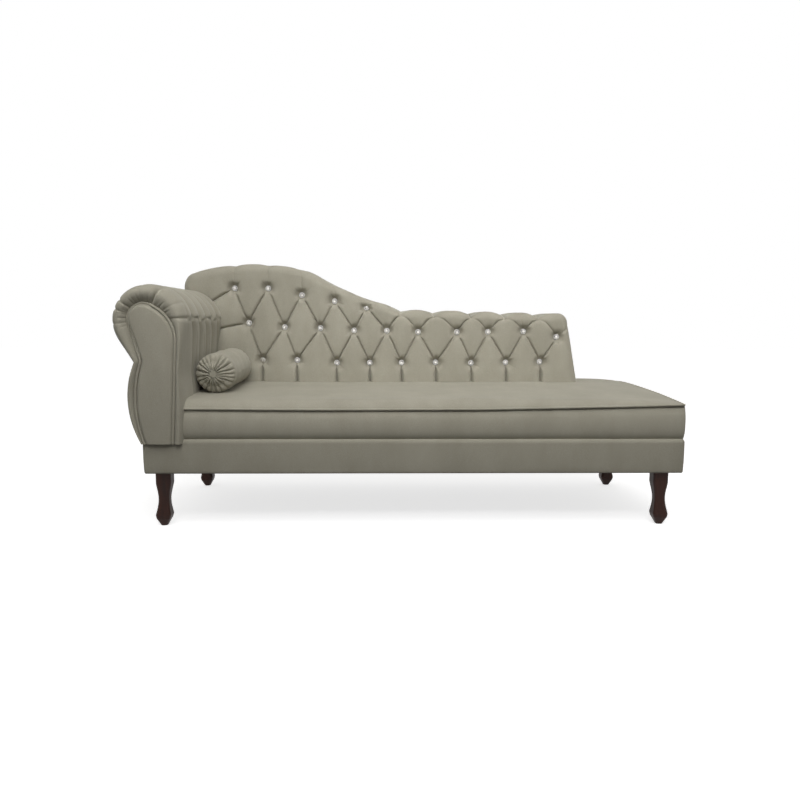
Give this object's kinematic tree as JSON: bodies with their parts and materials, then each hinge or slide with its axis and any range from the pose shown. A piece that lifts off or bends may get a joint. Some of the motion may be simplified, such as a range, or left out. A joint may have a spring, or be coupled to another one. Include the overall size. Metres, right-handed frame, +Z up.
{
  "type": "recamier",
  "caption": "Upholstered recamier with a rolled arm at its left end, a diamond-tufted back falling from high to low, crystal buttons, a loose bolster and dark wooden legs.",
  "frame": {"origin": "on the floor under the middle of the whole piece", "axes": "+X along the length from the arm to the free end, +Y from the front to the back, +Z up"},
  "size_m": [1.85, 0.68, 0.896],
  "materials": {
    "suede_cloth": "short-napped suede cloth, greige",
    "leg_wood": "dark brown stain, satin lacquer",
    "frame_wood": "sawn softwood",
    "plywood": "raw plywood",
    "foam": "open-cell foam or fibre",
    "webbing": "woven elastic webbing",
    "dust_cloth": "black spun-bonded cloth",
    "steel": "zinc-plated steel",
    "crystal": "clear faceted crystal",
    "button_metal": "bright plated cup",
    "tuft_cord": "twisted nylon cord",
    "retainer": "moulded plastic"
  },
  "bodies": {
    "sofa": {"arm_bolt_nuts": "steel", "arm_bolts": "steel", "arm_bottom_slat": "frame_wood", "arm_button_crystals": "crystal", "arm_button_cups": "button_metal", "arm_facing_board": "plywood", "arm_facing_pad": "suede_cloth", "arm_facing_welt": "suede_cloth", "arm_foam": "foam", "arm_front_board": "plywood", "arm_inner_slat": "frame_wood", "arm_rear_board": "plywood", "arm_rear_cover": "suede_cloth", "arm_roll_slats": "frame_wood", "arm_tuft_cords": "tuft_cord", "arm_tufted_cover": "suede_cloth", "back_button_crystals": "crystal", "back_button_cups": "button_metal", "back_cord_retainers": "retainer", "back_foam": "foam", "back_panel": "plywood", "back_post_bolts": "steel", "back_posts": "frame_wood", "back_rear_cover": "suede_cloth", "back_tuft_cords": "tuft_cord", "back_tufted_cover": "suede_cloth", "base_arm_bearer": "frame_wood", "base_block_screws": "steel", "base_corner_blocks": "frame_wood", "base_cover_bands": "suede_cloth", "base_cross_rails": "frame_wood", "base_dust_cover": "dust_cloth", "base_front_rail": "frame_wood", "base_left_rail": "frame_wood", "base_rear_rail": "frame_wood", "base_right_rail": "frame_wood", "front_left_leg": "leg_wood", "front_right_leg": "leg_wood", "leg_hanger_bolts": "steel", "leg_tee_nuts": "steel", "rear_left_leg": "leg_wood", "rear_right_leg": "leg_wood", "seat_cover": "suede_cloth", "seat_foam": "foam", "seat_webbing_cross": "webbing", "seat_webbing_long": "webbing", "seat_welt": "suede_cloth"},
    "bolster": {"bolster_cover": "suede_cloth", "bolster_filling": "foam", "bolster_end_buttons": "suede_cloth"}
  },
  "joints": [
    {"name": "bolster_lift", "type": "slide", "parent": "sofa", "child": "bolster", "axis": [0.28, 0, 0.96], "range_m": [0, 0.45]}
  ]
}
